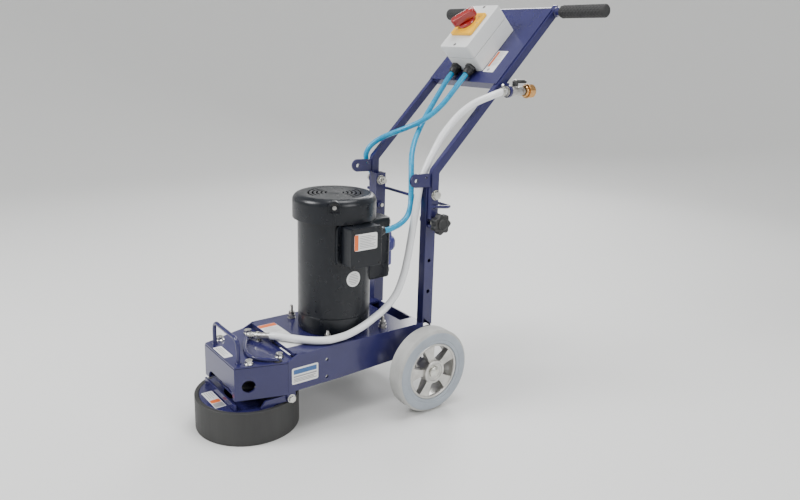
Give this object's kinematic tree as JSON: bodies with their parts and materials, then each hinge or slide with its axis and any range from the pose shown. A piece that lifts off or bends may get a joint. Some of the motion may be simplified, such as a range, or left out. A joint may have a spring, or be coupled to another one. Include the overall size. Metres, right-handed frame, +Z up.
{
  "type": "concrete grinder",
  "caption": "Walk-behind concrete floor grinder with a vertical motor, belt-driven disc in a rubber shroud, two wheels and a fold-down handle with switch box.",
  "frame": {"origin": "centre of the machine's box at floor level, midway between the wheels", "axes": "+Z up, -Y towards the grinding head, +Y towards the handle, +X towards the motor's terminal box"},
  "size_m": [0.566, 0.933, 0.9587],
  "materials": {
    "navy_paint": "gloss powder coat",
    "motor_paint": "satin enamel",
    "steel": "zinc plated",
    "cast_iron": "machined",
    "diamond_metal": "sintered",
    "copper_windings": "varnished",
    "black_rubber": "matte",
    "grey_tyre": "matte",
    "cast_aluminium": "cast",
    "black_plastic": "moulded",
    "grey_plastic": "moulded",
    "yellow_plastic": "moulded",
    "red_plastic": "moulded",
    "blue_cable": "satin jacket",
    "blue_plug": "moulded",
    "clear_hose": "braided clear hose",
    "brass": "machined"
  },
  "bodies": {
    "root": {"chassis_frame": "navy_paint", "deck_plate": "navy_paint", "nose_housing": "navy_paint", "nose_cover_plate": "navy_paint", "upright_near": "navy_paint", "upright_far": "navy_paint", "water_pipe": "navy_paint", "motor_end_bell": "motor_paint", "motor_frame": "motor_paint", "fan_cover": "motor_paint", "capacitor_cover": "motor_paint", "terminal_box_base": "motor_paint", "terminal_box_lid": "motor_paint", "cover_bolt_1": "steel", "cover_bolt_2": "steel", "cover_bolt_3": "steel", "cover_bolt_4": "steel", "spindle_bearings": "steel", "axle": "steel", "hinge_bolt_near": "steel", "hinge_bolt_far": "steel", "barb_fitting": "steel", "spindle_housing": "cast_iron", "motor_stator": "copper_windings", "drive_belt": "black_rubber", "motor_cable_gland": "black_plastic", "motor_cable": "blue_cable", "supply_cable": "blue_cable", "supply_plug": "blue_plug", "water_hose": "clear_hose"},
    "wheel_near": {"tyre_near": "grey_tyre", "rim_near": "cast_aluminium"},
    "wheel_far": {"tyre_far": "grey_tyre", "rim_far": "cast_aluminium"},
    "rotor": {"motor_rotor": "steel", "cooling_fan": "black_plastic", "motor_pulley": "cast_iron"},
    "spindle": {"spindle_shaft": "steel", "spindle_pulley": "cast_iron", "grinding_disc": "cast_iron", "diamond_segments": "diamond_metal"},
    "shroud": {"shroud_carrier": "navy_paint", "shroud_ring": "black_rubber"},
    "handle": {"handle_bar_near": "navy_paint", "handle_bar_far": "navy_paint", "bail_rod": "navy_paint", "crossbar_panel": "navy_paint", "handle_grip_near": "black_rubber", "handle_grip_far": "black_rubber", "switch_box_base": "grey_plastic", "switch_box_lid": "grey_plastic", "switch_plate": "yellow_plastic", "switch_gland_motor": "black_plastic", "switch_gland_supply": "black_plastic", "valve_body": "steel"},
    "star_knob_near": {"star_knob_near": "black_plastic"},
    "star_knob_far": {"star_knob_far": "black_plastic"},
    "switch_knob": {"switch_knob": "red_plastic"},
    "valve_lever": {"valve_lever": "black_plastic"},
    "swivel_nut": {"swivel_nut": "brass"}
  },
  "joints": [
    {"name": "wheel_near_spin", "type": "hinge", "parent": "root", "child": "wheel_near", "pos_m": [0.183, 0.033, 0.1016], "axis": [1, 0, 0], "continuous": true},
    {"name": "wheel_far_spin", "type": "hinge", "parent": "root", "child": "wheel_far", "pos_m": [-0.183, 0.033, 0.1016], "axis": [1, 0, 0], "continuous": true},
    {"name": "motor_spin", "type": "hinge", "parent": "root", "child": "rotor", "pos_m": [0, -0.119, 0.3], "axis": [0, 0, 1], "continuous": true},
    {"name": "spindle_spin", "type": "hinge", "parent": "root", "child": "spindle", "pos_m": [0, -0.3495, 0.1], "axis": [0, 0, 1], "continuous": true},
    {"name": "shroud_tilt", "type": "hinge", "parent": "root", "child": "shroud", "pos_m": [0, -0.295, 0.086], "axis": [1, 0, 0], "range_deg": [-2, 3]},
    {"name": "handle_fold", "type": "hinge", "parent": "root", "child": "handle", "pos_m": [0, 0.078, 0.51], "axis": [1, 0, 0], "range_deg": [0, 100], "deforming": ["water_hose", "motor_cable", "supply_cable"]},
    {"name": "star_knob_near_turn", "type": "hinge", "parent": "root", "child": "star_knob_near", "pos_m": [0.14, 0.078, 0.445], "axis": [1, 0, 0], "continuous": true},
    {"name": "star_knob_far_turn", "type": "hinge", "parent": "root", "child": "star_knob_far", "pos_m": [-0.14, 0.078, 0.445], "axis": [-1, 0, 0], "continuous": true},
    {"name": "switch_turn", "type": "hinge", "parent": "handle", "child": "switch_knob", "pos_m": [0, 0.26828, 0.90992], "axis": [0, -0.7126, 0.7015], "range_deg": [-45, 45]},
    {"name": "valve_turn", "type": "hinge", "parent": "handle", "child": "valve_lever", "pos_m": [0.145, 0.304, 0.7638], "axis": [0, 0, -1], "range_deg": [0, 90]},
    {"name": "swivel_turn", "type": "hinge", "parent": "handle", "child": "swivel_nut", "pos_m": [0.145, 0.351, 0.7478], "axis": [0, 1, 0], "continuous": true}
  ],
  "couplings": [
    {"joint": "spindle_spin", "follows": "motor_spin", "ratio": 0.7755}
  ]
}
